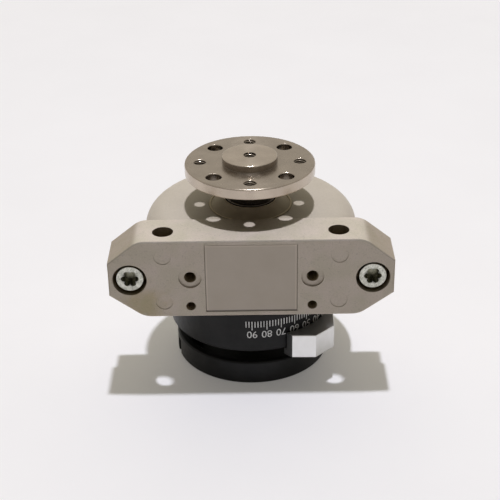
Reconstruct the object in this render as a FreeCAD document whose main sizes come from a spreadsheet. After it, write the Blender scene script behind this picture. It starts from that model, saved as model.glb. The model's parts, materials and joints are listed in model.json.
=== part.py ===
import FreeCAD, Part
import os
import re

import Sketcher

# Pneumatic vane drive that swings a flanged output shaft through half a turn.
# The origin lies on the shaft axis, in the plane that the rear cap stands on.
# +Z runs up the shaft to the output flange and -Y points out of the face with the air ports.
# Lengths are millimetres, angles are degrees counted from +X about +Z.

SIZES = {
    "overrun": 1.0,               # how far a cutter runs past the face that it opens

    # Port block
    "block_length": 100.0,
    "block_depth": 16.8,
    "block_height": 30.0,
    "block_front": 31.0,          # shaft axis to front face
    "block_end_drop": 8.5,        # top face down to the upright end
    "block_end_height": 12.8,
    "block_top_run": 10.6,        # end face in to the top of the upper slope
    "block_foot_run": 12.0,       # end face in to the foot of the lower slope
    "block_slope_round": 8.0,
    "block_edge_break": 0.4,
    "bolt_inset": 7.5,            # end face in to the bolt
    "bolt_rise": 15.0,            # above the underside of the block
    "bolt_diameter": 6.0,
    "bolt_head_diameter": 9.5,
    "bolt_head_height": 6.0,
    "bolt_bore_diameter": 12.0,
    "bolt_bore_depth": 7.0,
    "bolt_hole_gap": 0.6,         # on the diameter
    "socket_diameter": 6.2,       # six-lobe socket over its lobes
    "socket_lobe_diameter": 2.0,
    "socket_depth": 4.0,
    "port_inset": 0.1,            # chamber wall in to the port
    "port_rise": 15.6,
    "port_diameter": 4.2,
    "port_land": 1.9,             # spot face beyond the port
    "port_face_depth": 0.6,
    "port_reach": 9.0,            # behind the block, into the chamber
    "tap_rise": 4.2,
    "tap_diameter": 3.4,
    "tap_depth": 9.0,
    "clamp_inset": 19.3,          # end face in to the clamp hole
    "clamp_setback": 7.5,         # behind the front face
    "clamp_diameter": 7.4,
    "mark_inset": 19.3,           # end face in to the ejector marks
    "mark_margin": 6.0,           # from the top and from the underside
    "mark_diameter": 5.9,
    "mark_depth": 0.15,
    "plate_width": 32.0,
    "plate_thickness": 0.4,
    "plate_rise": 1.9,            # above the underside of the block
    "plate_top_margin": 1.7,
    "plate_bed_depth": 0.5,
    "plate_bed_gap": 0.12,        # round the plate
    "seal_cord": 1.5,             # port seals
    "seal_land": 0.35,            # between port and port seal

    # Housing
    "housing_diameter": 77.2,
    "housing_drop": 0.8,          # below the top of the block
    "housing_edge_round": 8.0,
    "housing_foot_break": 0.6,
    "ear_diameter": 13.0,
    "ear_depth": 8.0,
    "ear_floor": 1.0,             # behind the end of the bolt
    "chamber_diameter": 43.0,
    "bearing_recess": 0.7,
    "bearing_lead_in": 1.2,
    "seal_lip": 1.2,
    "seal_lip_gap": 0.5,

    # Ball bearings and shaft seals
    "bearing_bore": 15.0,
    "bearing_outside": 28.0,
    "bearing_width": 7.0,
    "race_wall": 1.8,             # inner and outer ring, beside the groove
    "race_groove": 0.15,          # depth of the ball groove
    "ball_gap": 0.1,
    "cage_thickness": 1.2,
    "cage_height": 2.6,
    "shield_thickness": 0.5,
    "shield_inset": 0.3,
    "shield_gap": 0.2,
    "dust_fit": 0.1,              # conical dust shield, in from the bearing's edge
    "dust_rim_width": 0.6,
    "dust_rim_height": 0.25,      # above the housing
    "dust_foot": 0.9,
    "dust_rise": 3.5,             # upper bearing to its bore
    "dust_lip": 0.5,              # flat land round the bore
    "dust_sheet": 0.5,
    "dust_gap": 0.4,              # round the collar of the shaft
    "seal_diameter": 24.0,
    "seal_height": 3.0,
    "seal_gap": 0.08,

    # Bottom cover
    "gasket_thickness": 0.5,
    "cover_land": 5.6,            # beyond the chamber
    "cover_thickness": 4.5,
    "cover_hub_wall": 3.0,        # round the lower bearing
    "cover_screw_inset": 3.5,
    "cover_screw_reach": 6.0,
    "screw_diameter": 3.0,        # small screws of cover, scale ring and cap
    "screw_head_diameter": 5.4,
    "screw_head_height": 2.0,
    "screw_bore_gap": 0.6,        # round the head, on the diameter
    "screw_head_sink": 0.2,
    "screw_hole_gap": 0.3,

    # Scale ring
    "ring_fit": 0.2,              # ring on the bottom cover, on the diameter
    "ring_wall": 3.5,
    "ring_height": 15.6,
    "ring_edge_break": 0.5,
    "web_thickness": 3.5,
    "web_bore_gap": 0.4,
    "post_gap": 0.2,              # wall that carries the rear cap, to the cap
    "post_wall": 4.7,
    "ring_screw_reach": 2.0,

    # Rear cap
    "cap_inset": 2.0,             # in from the scale ring
    "cap_wall": 2.6,
    "cap_height": 9.2,
    "cap_floor": 3.4,
    "cap_foot_round": 1.2,
    "cap_rim_break": 0.5,
    "cap_screw_inset": 2.4,       # outer wall of the post in to the screw
    "cap_screw_reach": 7.0,
    "groove_height": 6.2,         # between rear cap and scale ring
    "notch_width": 3.7,
    "notch_height": 6.7,

    # Drive shaft
    "flange_gap": 12.5,           # housing top to flange
    "flange_diameter": 47.0,
    "flange_thickness": 4.1,
    "flange_edge_round": 0.5,
    "flange_hole_inset": 5.5,
    "flange_hole_diameter": 5.6,
    "flange_tap_diameter": 4.3,
    "flange_hole_break": 0.25,
    "spigot_diameter": 20.0,
    "spigot_height": 2.6,
    "spigot_edge_round": 0.4,
    "centre_diameter": 4.5,
    "centre_depth": 16.0,
    "collar_shoulder": 1.4,       # from the bore of the upper bearing out to the collar
    "collar_height": 4.0,
    "collar_edge_round": 0.3,
    "lever_seat_shoulder": 0.5,   # from the lower bearing in to the lever seat
    "end_tap_diameter": 5.0,
    "end_tap_depth": 16.0,

    # Vane rotor
    "hub_wall": 3.0,
    "hub_gap": 0.3,
    "vane_thickness": 6.4,
    "vane_seal_thickness": 2.4,
    "vane_seal_depth": 1.6,
    "vane_gap": 0.25,
    "vane_seal_gap": 0.1,
    "key_width": 4.0,
    "key_depth": 2.0,             # into the shaft, and as much into the hub
    "vane_key_length": 12.0,
    "lever_key_margin": 1.7,      # below the lower bearing

    # Stop lever
    "lever_clearance": 0.3,
    "lever_ring_gap": 0.9,        # head to scale ring, on the diameter
    "lever_plate": 2.5,
    "lever_head_height": 9.4,
    "lever_head_depth": 7.3,      # out from the scale ring
    "lever_tip_width": 9.6,
    "lever_head_width": 21.8,
    "lever_arm_width": 14.0,
    "lever_arm_gap": 1.8,         # arm to the bore of the scale ring
    "lever_neck_inset": 6.3,      # ring edge in to where the plate starts to widen
    "lever_flare_inset": 2.9,     # ring edge in to where it has the width of the head
    "lever_hub_diameter": 24.0,
    "lever_edge_break": 0.35,
    "washer_diameter": 18.0,
    "washer_thickness": 1.5,
    "washer_gap": 0.5,            # round the screw
    "lever_screw_head_diameter": 10.0,
    "lever_screw_head_height": 6.0,
    "lever_screw_reach": 12.0,

    # End stops
    "stop_gap": 0.3,              # lever to buffer at the end of the swing
    "buffer_proud": 1.0,
    "buffer_diameter": 3.2,
    "buffer_length": 5.0,
    "buffer_inset": 2.0,          # in from the circle of the stop screws
    "buffer_rise": 1.9,
    "stop_rise": 0.1,             # above the lower edge of the scale ring
    "stop_hub_gap": 0.8,
    "stop_ring_gap": 0.9,
    "stop_waste": 6.0,            # blank of the stop, beyond its round walls
    "stop_screw_diameter": 3.0,
    "stop_screw_head_diameter": 5.5,
    "stop_screw_head_height": 2.5,
    "stop_screw_slack": 0.4,      # round the screw and its head
    "stop_nut_width": 5.5,
    "stop_nut_height": 1.8,
    "stop_nut_room": 2.7,         # round the corners of the nut, on the diameter
    "stop_nut_gap": 0.2,          # above the nut
}

ANGLES = {
    "chamber_angle": 224.0,
    "post_angle": 56.0,           # wall that carries the rear cap
    "cap_screw_split": 26.0,      # between the screws of the cap
    "lever_rest": -46.0,          # where the lever points in the rest pose
    "swing": 90.0,                # lever travel each way from +X
    "stop_travel": 4.0,
    "stop_post_angle": 4.0,       # left between stop and post when the stop is set outwards
    "stop_screw_angle": 12.0,     # from the far end of the stop to its screw
}

DERIVED = {
    "ring_bottom": "cap_height + groove_height",
    "block_bottom": "ring_bottom + ring_height",
    "block_top": "block_bottom + block_height",
    "block_back": "block_front - block_depth",
    "block_end_top": "block_top - block_end_drop",
    "bolt_spacing": "block_length - 2 * bolt_inset",
    "bolt_level": "block_bottom + bolt_rise",
    "bolt_reach": "ear_depth - ear_floor",
    "port_level": "block_bottom + port_rise",
    "port_spacing": "chamber_diameter - 2 * port_inset",
    "port_face_diameter": "port_diameter + 2 * port_land",
    "seal_ring_diameter": "port_diameter + seal_cord + 2 * seal_land",
    "clamp_spacing": "block_length - 2 * clamp_inset",
    "mark_spacing": "block_length - 2 * mark_inset",
    "housing_top": "block_top - housing_drop",
    "bearing_top": "housing_top - bearing_recess",
    "bearing_bottom": "bearing_top - bearing_width",
    "seal_bottom": "bearing_bottom - seal_height",
    "chamber_top": "seal_bottom - seal_lip",
    "lip_radius": "bearing_bore / 2 + seal_lip_gap",
    "race_inner_diameter": "bearing_bore + 2 * race_wall",
    "race_outer_diameter": "bearing_outside - 2 * race_wall",
    "ball_diameter": "(race_outer_diameter - race_inner_diameter) / 2 + 2 * race_groove",
    "hub_diameter": "bearing_bore + 2 * hub_wall",
    "hub_bore_radius": "hub_diameter / 2 + hub_gap",
    "cover_diameter": "chamber_diameter + 2 * cover_land",
    "cover_hub_diameter": "bearing_outside + 2 * cover_hub_wall",
    "cover_screw_circle": "cover_diameter - 2 * cover_screw_inset",
    "screw_bore_diameter": "screw_head_diameter + screw_bore_gap",
    "screw_bore_depth": "screw_head_height + screw_head_sink",
    "ring_bore": "cover_diameter + ring_fit",
    "ring_diameter": "ring_bore + 2 * ring_wall",
    "ring_screw_circle": "stop_screw_circle",
    "cap_diameter": "ring_diameter - 2 * cap_inset",
    "post_outer_diameter": "cap_diameter - 2 * cap_wall - 2 * post_gap",
    "post_inner_diameter": "post_outer_diameter - 2 * post_wall",
    "cap_screw_circle": "post_outer_diameter - 2 * cap_screw_inset",
    "cover_top": "block_bottom - gasket_thickness",
    "cover_bottom": "cover_top - cover_thickness",
    "low_seal_top": "cover_top - seal_lip",
    "low_seal_bottom": "low_seal_top - seal_height",
    "low_bearing_bottom": "low_seal_bottom - bearing_width",
    "web_bottom": "cover_bottom - web_thickness",
    "lever_plate_top": "ring_bottom - lever_clearance",
    "lever_bottom": "lever_plate_top - lever_plate",
    "lever_arm_top": "low_bearing_bottom - lever_clearance",
    "lever_head_top": "lever_bottom + lever_head_height",
    "lever_key_length": "low_bearing_bottom - lever_key_margin - lever_bottom",
    "lever_reach": "ring_diameter / 2 + lever_head_depth",
    "lever_arm_reach": "ring_bore / 2 - lever_arm_gap",
    "lever_neck": "ring_diameter / 2 - lever_neck_inset",
    "lever_flare": "ring_diameter / 2 - lever_flare_inset",
    "lever_cheek": "lever_reach - (lever_head_width - lever_tip_width) / 2",
    "washer_bottom": "lever_bottom - washer_thickness",
    "collar_diameter": "bearing_bore + 2 * collar_shoulder",
    "collar_top": "bearing_top + collar_height",
    "lead_in_radius": "bearing_outside / 2 + bearing_lead_in",
    "dust_outer": "bearing_outside / 2 - dust_fit",
    "dust_rim": "lead_in_radius - dust_fit",
    "dust_cone": "dust_rim - dust_rim_width",
    "dust_inner": "collar_diameter / 2 + dust_gap",
    "dust_slope": "(dust_rise - bearing_recess) / (dust_cone - dust_inner - dust_lip)",
    "lever_seat_diameter": "bearing_bore - 2 * lever_seat_shoulder",
    "flange_circle": "flange_diameter - 2 * flange_hole_inset",
    "flange_bottom": "housing_top + flange_gap",
    "flange_top": "flange_bottom + flange_thickness",
    "spigot_top": "flange_top + spigot_height",
    "vane_bottom": "cover_top + vane_gap",
    "vane_top": "chamber_top - vane_gap",
    "vane_radius": "chamber_diameter / 2 - vane_gap",
    "vane_seal_radius": "chamber_diameter / 2 - vane_seal_gap",
    "race_middle": "(race_inner_diameter + race_outer_diameter) / 4",
    "stop_inner_diameter": "cover_hub_diameter + 2 * stop_hub_gap",
    "stop_outer_diameter": "ring_bore - 2 * stop_ring_gap",
    "stop_far_angle": "180 - post_angle / 2 - swing - stop_travel - stop_post_angle",
    "stop_screw_turn": "stop_far_angle - stop_screw_angle",
    "stop_screw_circle": "(stop_inner_diameter + stop_outer_diameter) / 2",
    "stop_nut_pocket": "stop_nut_width * sqrt(2) + stop_nut_room",
    "stop_nut_pocket_depth": "stop_nut_height + stop_nut_gap",
    "buffer_radius": "stop_screw_circle / 2 - buffer_inset",
    "stop_bottom": "ring_bottom + stop_rise",
    "stop_face": "lever_arm_width / 2 + stop_gap + buffer_proud",
    "buffer_level": "stop_bottom + buffer_rise",
}

FLANGE_HOLES = (45, 135, 225, 315)
FLANGE_TAPS = (0, 90, 180, 270)
COVER_SCREWS = (-22, 35, 90, 145, 202)
RING_SCREWS = (-105, -55, 6, 62, 105)
SOCKET_LOBES = (0, 60, 120, 180, 240, 300)
BALLS = (0, 40, 80, 120, 160, 200, 240, 280, 320)
CAP_NOTCHES = (14.5, 194.5)
SIDES = (-1, 1)

ON_AXIS = 1e-9
NEAR = 1e-3

doc = FreeCAD.newDocument("rotary_drive")
sheet = doc.addObject("Spreadsheet::Sheet", "Dims")
DRIVING = SIZES | ANGLES
for row, (alias, size) in enumerate(DRIVING.items(), start=1):
    sheet.set(f"A{row}", alias)
    sheet.set(f"B{row}", str(size))
    sheet.setAlias(f"B{row}", alias)
doc.recompute()

nodes = []


def formula(text):
    """Spell size names out for the expression engine."""
    def spell(match):
        word = match.group(0)
        if word in DERIVED:
            return f"({formula(DERIVED[word])})"
        return f"Dims.{word}" if word in DRIVING else word
    return re.sub(r"[a-z_]+", spell, str(text))


def value(text):
    """The number that a formula comes to."""
    return float(sheet.evalExpression(formula(text)))


def bind(thing, **properties):
    """Tie properties of an object to formulas. Two underscores stand for a dot."""
    for name, text in properties.items():
        thing.setExpression(name.replace("__", "."), formula(text))


def on_circle(diameter, angle):
    """Formulas for a point on a circle about the shaft axis."""
    return f"{diameter} / 2 * cos({angle})", f"{diameter} / 2 * sin({angle})"


def turned_point(reach, aside, angle):
    """Formulas for a point that lies a reach out and some way aside, turned about the shaft axis."""
    return (f"({reach}) * cos({angle}) - ({aside}) * sin({angle})",
            f"({reach}) * sin({angle}) + ({aside}) * cos({angle})")


def finish(thing, label):
    """Name a finished sub-part and keep it for export."""
    thing.Label = label
    nodes.append(thing)
    return thing


# Sketches: every corner and centre is pinned to the axes by a formula

def pin(sketch, piece, point, place):
    """Hold one sketch point at a place given by two formulas."""
    for kind, text, axis in zip(("DistanceX", "DistanceY"), place, (-2, -1)):
        size = value(text)
        if abs(size) < ON_AXIS:
            sketch.addConstraint(Sketcher.Constraint("PointOnObject", piece, point, axis))
            continue
        ends = (-1, 1, piece, point) if size > 0 else (piece, point, -1, 1)
        index = sketch.addConstraint(Sketcher.Constraint(kind, *ends, abs(size)))
        signed = text if size > 0 else f"-({text})"
        sketch.setExpression(f"Constraints[{index}]", formula(signed))


def add_outline(sketch, corners):
    """A closed loop of straight lines."""
    points = [FreeCAD.Vector(value(x), value(y), 0) for x, y in corners]
    first = sketch.GeometryCount
    count = len(points)
    for step in range(count):
        line = Part.LineSegment(points[step], points[(step + 1) % count])
        sketch.addGeometry(line, False)
    for step in range(count):
        follower = first + (step + 1) % count
        sketch.addConstraint(Sketcher.Constraint("Coincident", first + step, 2, follower, 1))
    for step, corner in enumerate(corners):
        pin(sketch, first + step, 1, corner)


def add_circle(sketch, circle):
    """A circle given by its centre and its diameter."""
    x, y, diameter = circle
    centre = FreeCAD.Vector(value(x), value(y), 0)
    round_line = Part.Circle(centre, FreeCAD.Vector(0, 0, 1), value(diameter) / 2)
    piece = sketch.addGeometry(round_line, False)
    pin(sketch, piece, 3, (x, y))
    index = sketch.addConstraint(Sketcher.Constraint("Diameter", piece, value(diameter)))
    sketch.setExpression(f"Constraints[{index}]", formula(diameter))


def origin_plane(body, role):
    return next(part for part in body.Origin.OriginFeatures if part.Role == role)


def new_body(name):
    return doc.addObject("PartDesign::Body", name)


def new_sketch(body, plane, loops, offset="0"):
    """A sketch on an origin plane of the body. A loop is a list of corners or a circle."""
    sketch = body.newObject("Sketcher::SketchObject", "Sketch")
    sketch.AttachmentSupport = (origin_plane(body, plane), [""])
    sketch.MapMode = "FlatFace"
    bind(sketch, AttachmentOffset__Base__z=offset)
    for loop in loops:
        if isinstance(loop, list):
            add_outline(sketch, loop)
        else:
            add_circle(sketch, loop)
    return sketch


def pad(body, plane, loops, offset, length):
    feature = body.newObject("PartDesign::Pad", "Pad")
    feature.Profile = new_sketch(body, plane, loops, offset)
    bind(feature, Length=length)
    doc.recompute()
    return feature


def pocket(body, plane, loops, offset, depth, reverse=False):
    """Cut against the plane's normal, or along it when reversed. It has to remove something."""
    before = body.Shape.Volume
    feature = body.newObject("PartDesign::Pocket", "Pocket")
    feature.Profile = new_sketch(body, plane, loops, offset)
    feature.Reversed = reverse
    bind(feature, Length=depth)
    doc.recompute()
    if body.Shape.Volume >= before:
        raise ValueError(f"a pocket of {body.Name} cuts nothing")
    return feature


def turn(body, corners):
    """A turned form from (radius, height) corners."""
    feature = body.newObject("PartDesign::Revolution", "Turned")
    sketch = new_sketch(body, "XZ_Plane", [corners])
    feature.Profile = sketch
    feature.ReferenceAxis = (sketch, ["V_Axis"])
    feature.Angle = 360
    doc.recompute()
    return feature


def groove(body, loop):
    """Turn a loop about the shaft axis and cut it from the body. It has to remove something."""
    before = body.Shape.Volume
    feature = body.newObject("PartDesign::Groove", "Groove")
    sketch = new_sketch(body, "XZ_Plane", [loop])
    feature.Profile = sketch
    feature.ReferenceAxis = (sketch, ["V_Axis"])
    feature.Angle = 360
    doc.recompute()
    if body.Shape.Volume >= before:
        raise ValueError(f"a groove of {body.Name} cuts nothing")
    return feature


def sector(body, kind, radius, bottom, height, start, angle):
    """A slice of a cylinder about the shaft axis, added to the body or cut from it."""
    feature = body.newObject(f"PartDesign::{kind}Cylinder", "Sector")
    feature.AttachmentSupport = (origin_plane(body, "XY_Plane"), [""])
    feature.MapMode = "FlatFace"
    bind(feature, Radius=radius, Height=height, Angle=angle, AttachmentOffset__Base__z=bottom,
         AttachmentOffset__Rotation__Angle=start)
    doc.recompute()
    return feature


def break_edges(body, kind, size, wanted):
    """Round or chamfer the edges of the body that the test wanted accepts."""
    base = body.Tip
    names = [f"Edge{number}" for number, edge in enumerate(base.Shape.Edges, start=1) if wanted(edge)]
    if not names:
        raise ValueError(f"no edge of {body.Name} fits")
    feature = body.newObject(f"PartDesign::{kind}", kind)
    feature.Base = (base, names)
    bind(feature, **{"Radius" if kind == "Fillet" else "Size": size})
    doc.recompute()
    return feature


def circle_edge(radius, height):
    """A test for the full circles of a radius at a height."""
    def wanted(edge):
        curve = edge.Curve
        return (isinstance(curve, Part.Circle) and abs(curve.Radius - value(radius)) < NEAR
                and abs(curve.Center.z - value(height)) < NEAR)
    return wanted


# Plain solids for pins, screws, balls and seals

def cylinder(diameter, length, x="0", y="0", z="0"):
    """An upright cylinder."""
    thing = doc.addObject("Part::Cylinder", "Cylinder")
    bind(thing, Radius=f"({diameter}) / 2", Height=length, Placement__Base__x=x,
         Placement__Base__y=y, Placement__Base__z=z)
    return thing


def cylinder_inward(diameter, length, x, front, z):
    """A cylinder along +Y, from a plane a distance in front of the shaft axis."""
    thing = doc.addObject("Part::Cylinder", "Cylinder")
    thing.Placement.Rotation = FreeCAD.Rotation(FreeCAD.Vector(1, 0, 0), -90)
    bind(thing, Radius=f"({diameter}) / 2", Height=length, Placement__Base__x=x,
         Placement__Base__y=f"-({front})", Placement__Base__z=z)
    return thing


def join(things):
    thing = doc.addObject("Part::MultiFuse", "Joined")
    thing.Shapes = things
    return thing


def subtract(base, tool):
    thing = doc.addObject("Part::Cut", "Remainder")
    thing.Base = base
    thing.Tool = tool
    return thing


def group(label, things):
    """Separate solids of one kind, in one node."""
    thing = doc.addObject("Part::Compound", "Group")
    thing.Links = things
    return finish(thing, label)


def turned_part(label, corners):
    body = new_body(label)
    turn(body, corners)
    return finish(body, label)


def ring_part(label, inner, outer, bottom, top):
    """A plain ring of rectangular section, by its radii and levels."""
    return turned_part(label, [(inner, bottom), (outer, bottom), (outer, top), (inner, top)])


def swing_with_shaft(thing):
    """Set a piece that was drawn with the lever along +X to the rest pose."""
    thing.Placement.Rotation = FreeCAD.Rotation(FreeCAD.Vector(0, 0, 1), value("lever_rest"))
    bind(thing, Placement__Rotation__Angle="lever_rest")
    return thing


# Housing: the round casting with the vane chamber, flat where the port block sits

def cut_chamber(body, top):
    start = "90 - chamber_angle / 2"
    bottom = "cover_top - gasket_thickness"
    return sector(body, "Subtractive", "chamber_diameter / 2", bottom, f"{top} - ({bottom})",
                  start, "chamber_angle")


def make_housing():
    body = new_body("housing")
    outside = "housing_diameter / 2"
    bearing_radius = "bearing_outside / 2"
    turn(body, [
        ("hub_bore_radius", "block_bottom"),
        (outside, "block_bottom"),
        (outside, "housing_top"),
        ("lead_in_radius", "housing_top"),
        (bearing_radius, "bearing_top"),
        (bearing_radius, "bearing_bottom"),
        ("seal_diameter / 2", "bearing_bottom"),
        ("seal_diameter / 2", "seal_bottom"),
        ("lip_radius", "seal_bottom"),
        ("lip_radius", "chamber_top"),
        ("hub_bore_radius", "chamber_top"),
    ])
    break_edges(body, "Fillet", "housing_edge_round", circle_edge(outside, "housing_top"))
    break_edges(body, "Chamfer", "housing_foot_break", circle_edge(outside, "block_bottom"))
    cut_chamber(body, "chamber_top")
    in_front = [("-housing_diameter", "-block_back"), ("housing_diameter", "-block_back"),
                ("housing_diameter", "-housing_diameter"), ("-housing_diameter", "-housing_diameter")]
    pocket(body, "XY_Plane", [in_front], "housing_top + overrun", "block_height + 2 * overrun")
    ear_foot = "housing_diameter / 2 - ear_diameter / 2"
    for side in SIDES:
        bolt = f"{side} * bolt_spacing / 2"
        pad(body, "XZ_Plane", [(bolt, "bolt_level", "ear_diameter")], "block_back - ear_depth",
            "ear_depth")
        web = [(f"{side} * ({ear_foot})", "bolt_level - ear_diameter / 2"),
               (bolt, "bolt_level - ear_diameter / 2"),
               (bolt, "bolt_level + ear_diameter / 2"),
               (f"{side} * ({ear_foot})", "bolt_level + ear_diameter / 2")]
        pad(body, "XZ_Plane", [web], "block_back - ear_depth", "ear_depth")
        pocket(body, "XZ_Plane", [(bolt, "bolt_level", "bolt_diameter")], "block_back", "bolt_reach")
        port = f"{side} * port_spacing / 2"
        pocket(body, "XZ_Plane", [(port, "port_level", "port_diameter")], "block_back", "port_reach")
    taps = [(*on_circle("cover_screw_circle", angle), "screw_diameter") for angle in COVER_SCREWS]
    pocket(body, "XY_Plane", taps, "block_bottom", "cover_screw_reach", reverse=True)
    finish(body, "housing")


# Port block: an eight-cornered bar with ports, tapped holes and clamp holes

def make_port_block():
    body = new_body("port_block")
    half = "block_length / 2"
    right = [
        (f"{half} - block_foot_run", "block_bottom"),
        (half, "block_end_top - block_end_height"),
        (half, "block_end_top"),
        (f"{half} - block_top_run", "block_top"),
    ]
    left = [(f"-({x})", z) for x, z in reversed(right)]
    pad(body, "XZ_Plane", [right + left], "block_back", "block_depth")

    def slope_edge(edge):
        across = edge.Vertexes[0].Point - edge.Vertexes[-1].Point
        height = edge.CenterOfMass.z
        level = min(abs(height - value("block_top")), abs(height - value("block_bottom")))
        return abs(across.x) + abs(across.z) < NEAR and level < NEAR

    break_edges(body, "Fillet", "block_slope_round", slope_edge)

    def front_edge(edge):
        return edge.BoundBox.YMax < -value("block_front") + NEAR

    break_edges(body, "Chamfer", "block_edge_break", front_edge)
    bolts = []
    ports = []
    for side in SIDES:
        bolts.append((f"{side} * bolt_spacing / 2", "bolt_level"))
        ports.append((f"{side} * port_spacing / 2", "port_level"))
    through = "block_depth + overrun"

    def drill(places, diameter, depth):
        circles = [(x, z, diameter) for x, z in places]
        pocket(body, "XZ_Plane", circles, "block_front", depth)

    drill(bolts, "bolt_bore_diameter", "bolt_bore_depth")
    drill(bolts, "bolt_diameter + bolt_hole_gap", through)
    drill(ports, "port_face_diameter", "port_face_depth")
    drill(ports, "port_diameter", through)
    drill([(x, "block_bottom + tap_rise") for x, _ in ports], "tap_diameter", "tap_depth")
    marks = [(f"{side} * mark_spacing / 2", level)
             for side in SIDES for level in ("block_top - mark_margin", "block_bottom + mark_margin")]
    drill(marks, "mark_diameter", "mark_depth")
    pocket(body, "XZ_Plane", [plate_outline("plate_bed_gap")], "block_front", "plate_bed_depth")
    seats = [(x, z, "seal_ring_diameter + seal_cord") for x, z in ports]
    pocket(body, "XZ_Plane", seats, "block_back", "seal_cord", reverse=True)
    clamps = [(f"{side} * clamp_spacing / 2", "clamp_setback - block_front", "clamp_diameter")
              for side in SIDES]
    pocket(body, "XY_Plane", clamps, "block_top", "block_height")
    sector(body, "Subtractive", "lead_in_radius", "bearing_top", "block_top - bearing_top", "0", "360")
    finish(body, "port_block")


def plate_outline(margin):
    """The name plate, or its bed with a margin round the plate."""
    half = f"plate_width / 2 + {margin}"
    bottom = f"block_bottom + plate_rise - {margin}"
    top = f"block_top - plate_top_margin + {margin}"
    return [(f"-({half})", bottom), (half, bottom), (half, top), (f"-({half})", top)]


def make_name_plate():
    body = new_body("name_plate")
    pad(body, "XZ_Plane", [plate_outline("0")], "block_front - plate_bed_depth", "plate_thickness")
    finish(body, "name_plate")


def make_block_screws():
    """Screws with a six-lobe socket, their heads sunk in the block."""
    head_front = "block_front - bolt_bore_depth + bolt_head_height"
    screws = []
    for side in SIDES:
        x = f"{side} * bolt_spacing / 2"
        head = cylinder_inward("bolt_head_diameter", "bolt_head_height", x, head_front, "bolt_level")
        shank_length = "block_depth - bolt_bore_depth + bolt_reach"
        shank = cylinder_inward("bolt_diameter", shank_length, x, "block_front - bolt_bore_depth",
                                "bolt_level")
        core = "socket_diameter - socket_lobe_diameter"
        tools = [cylinder_inward(core, "socket_depth", x, head_front, "bolt_level")]
        for angle in SOCKET_LOBES:
            run, rise = on_circle(f"({core})", angle)
            tools.append(cylinder_inward("socket_lobe_diameter", "socket_depth", f"{x} + {run}",
                                         head_front, f"bolt_level + {rise}"))
        screws.append(subtract(join([head, shank]), join(tools)))
    group("block_screws", screws)


def make_port_seals():
    seals = []
    for side in SIDES:
        seal = doc.addObject("Part::Torus", "Torus")
        seal.Placement.Rotation = FreeCAD.Rotation(FreeCAD.Vector(1, 0, 0), -90)
        bind(seal, Radius1="seal_ring_diameter / 2", Radius2="seal_cord / 2",
             Placement__Base__x=f"{side} * port_spacing / 2",
             Placement__Base__y="-(block_back + seal_cord / 2)", Placement__Base__z="port_level")
        seals.append(seal)
    group("port_seals", seals)


# Bottom cover: closes the chamber and holds the lower bearing

def make_bottom_cover():
    body = new_body("bottom_cover")
    outside = "cover_diameter / 2"
    hub = "cover_hub_diameter / 2"
    turn(body, [
        ("lip_radius", "cover_top"),
        ("lip_radius", "low_seal_top"),
        ("seal_diameter / 2", "low_seal_top"),
        ("seal_diameter / 2", "low_seal_bottom"),
        ("bearing_outside / 2", "low_seal_bottom"),
        ("bearing_outside / 2", "low_bearing_bottom"),
        (hub, "low_bearing_bottom"),
        (hub, "cover_bottom"),
        (outside, "cover_bottom"),
        (outside, "cover_top"),
    ])
    places = [on_circle("cover_screw_circle", angle) for angle in COVER_SCREWS]
    bores = [(*place, "screw_bore_diameter") for place in places]
    holes = [(*place, "screw_diameter + screw_hole_gap") for place in places]
    pocket(body, "XY_Plane", bores, "cover_bottom", "screw_bore_depth", reverse=True)
    pocket(body, "XY_Plane", holes, "cover_bottom", "cover_thickness", reverse=True)
    taps = [(*on_circle("ring_screw_circle", angle), "screw_diameter") for angle in RING_SCREWS]
    pocket(body, "XY_Plane", taps, "cover_bottom", "ring_screw_reach", reverse=True)
    finish(body, "bottom_cover")


def make_cover_gasket():
    body = new_body("cover_gasket")
    turn(body, [("hub_bore_radius", "cover_top"), ("cover_diameter / 2", "cover_top"),
                ("cover_diameter / 2", "block_bottom"), ("hub_bore_radius", "block_bottom")])
    cut_chamber(body, "chamber_top")
    holes = [(*on_circle("cover_screw_circle", angle), "screw_diameter + screw_hole_gap")
             for angle in COVER_SCREWS]
    pocket(body, "XY_Plane", holes, "block_bottom", "gasket_thickness")
    finish(body, "cover_gasket")


def small_screws(label, places, seat, reach):
    """Screws put in from below: the seat is where the head bears, the reach what lies beyond."""
    screws = []
    for x, y in places:
        head = cylinder("screw_head_diameter", "screw_head_height", x, y, f"{seat} - screw_head_height")
        shank = cylinder("screw_diameter", reach, x, y, seat)
        screws.append(join([head, shank]))
    group(label, screws)


def make_cover_screws():
    places = [on_circle("cover_screw_circle", angle) for angle in COVER_SCREWS]
    reach = "cover_thickness - screw_bore_depth + gasket_thickness + cover_screw_reach"
    small_screws("cover_screws", places, "cover_bottom + screw_bore_depth", reach)


# Ball bearings and shaft seals

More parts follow.
